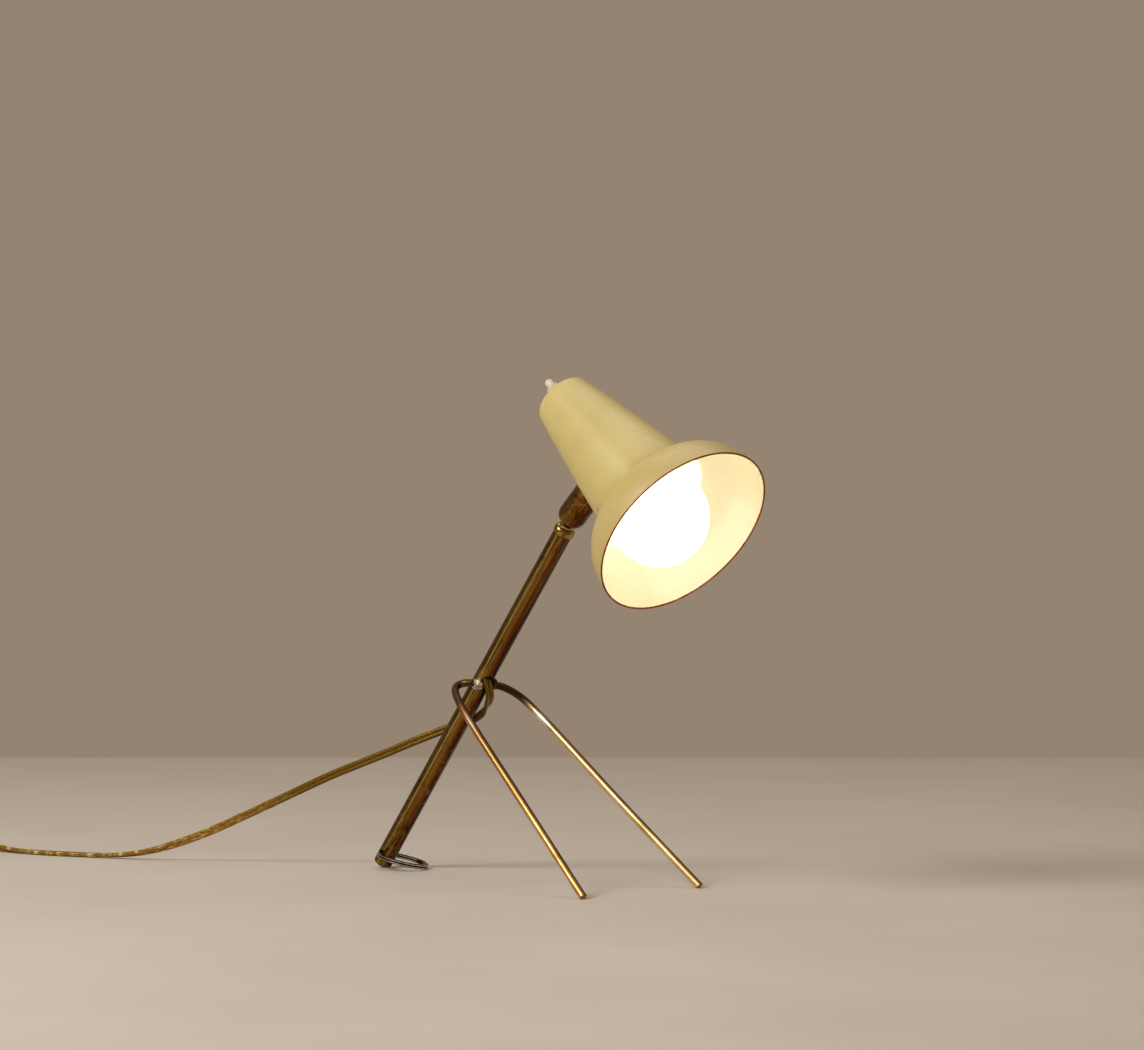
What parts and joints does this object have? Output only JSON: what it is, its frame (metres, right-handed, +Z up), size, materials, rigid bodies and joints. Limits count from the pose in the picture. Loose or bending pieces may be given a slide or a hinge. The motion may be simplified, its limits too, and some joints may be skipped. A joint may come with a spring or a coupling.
{
  "type": "desk lamp",
  "caption": "Small tripod desk lamp: leaning brass tube, bent rod legs, ball swivel, and a flared enamelled shade with a push-button at its back and a frosted bulb.",
  "frame": {"origin": "centre of the lamp's own footprint box (cord left out), on the surface that it stands on", "axes": "+Z up, +X the way the shade points, +Y to the lamp's left"},
  "size_m": [0.641, 0.2674, 0.3124],
  "materials": {
    "aged_brass": "satin",
    "leg_brass": "satin",
    "bright_brass": "satin",
    "solder": "satin",
    "steel": "satin",
    "shade_enamel": "satin",
    "white_plastic": "satin",
    "brown_phenolic": "satin",
    "porcelain": "gloss",
    "black_glass": "gloss",
    "frosted_glass": "matte",
    "gold_vinyl": "gloss"
  },
  "bodies": {
    "stand": {"stem_tube": "aged_brass", "stem_ferrule": "aged_brass", "stem_lead": "gold_vinyl", "leg_left": "leg_brass", "braze_left": "solder", "leg_right": "leg_brass", "braze_right": "solder", "cord_lead": "gold_vinyl", "cord_coil": "gold_vinyl", "cord_tie": "white_plastic", "cord_tail": "gold_vinyl", "plug_body": "gold_vinyl", "plug_blade_left": "bright_brass", "plug_blade_right": "bright_brass"},
    "stud": {"ball_stud": "steel", "stud_washer": "steel", "stud_nut": "bright_brass", "ball_lead": "gold_vinyl"},
    "seat": {"ball_seat": "bright_brass", "seat_spring": "steel"},
    "head": {"swivel_cup": "aged_brass", "cup_nipple": "bright_brass", "nipple_washer": "steel", "nipple_locknut": "bright_brass", "shade": "shade_enamel", "switch_nut": "white_plastic", "switch_body": "white_plastic", "holder_cap": "brown_phenolic", "terminal_block": "porcelain", "socket_body": "brown_phenolic", "screw_shell": "bright_brass", "centre_contact": "bright_brass", "bulb_base": "steel", "bulb_insulator": "black_glass", "bulb_contact": "solder", "bulb_globe": "frosted_glass", "holder_lead": "gold_vinyl"},
    "button": {"switch_button": "white_plastic"},
    "ring": {"hanging_ring": "steel"}
  },
  "joints": [
    {"name": "swivel_turn", "type": "hinge", "parent": "stand", "child": "stud", "pos_m": [0.02621, 0, 0.22848], "axis": [0.6233, 0, 0.782], "range_deg": [-175, 175]},
    {"name": "shade_tilt", "type": "hinge", "parent": "stud", "child": "seat", "pos_m": [0.02621, 0, 0.22848], "axis": [0, 1, 0], "range_deg": [-39, 22]},
    {"name": "shade_roll", "type": "hinge", "parent": "seat", "child": "head", "pos_m": [0.02621, 0, 0.22848], "axis": [0.7302, 0, 0.6833], "range_deg": [-175, 175]},
    {"name": "switch_press", "type": "slide", "parent": "head", "child": "button", "axis": [0.7593, 0, -0.6508], "range_m": [0, 0.003], "stiffness_N_per_m": 400, "springref_m": -0.003},
    {"name": "ring_swing", "type": "hinge", "parent": "stand", "child": "ring", "pos_m": [-0.14913, 0, 0.00851], "axis": [0, -1, 0], "range_deg": [-281, 46]}
  ]
}
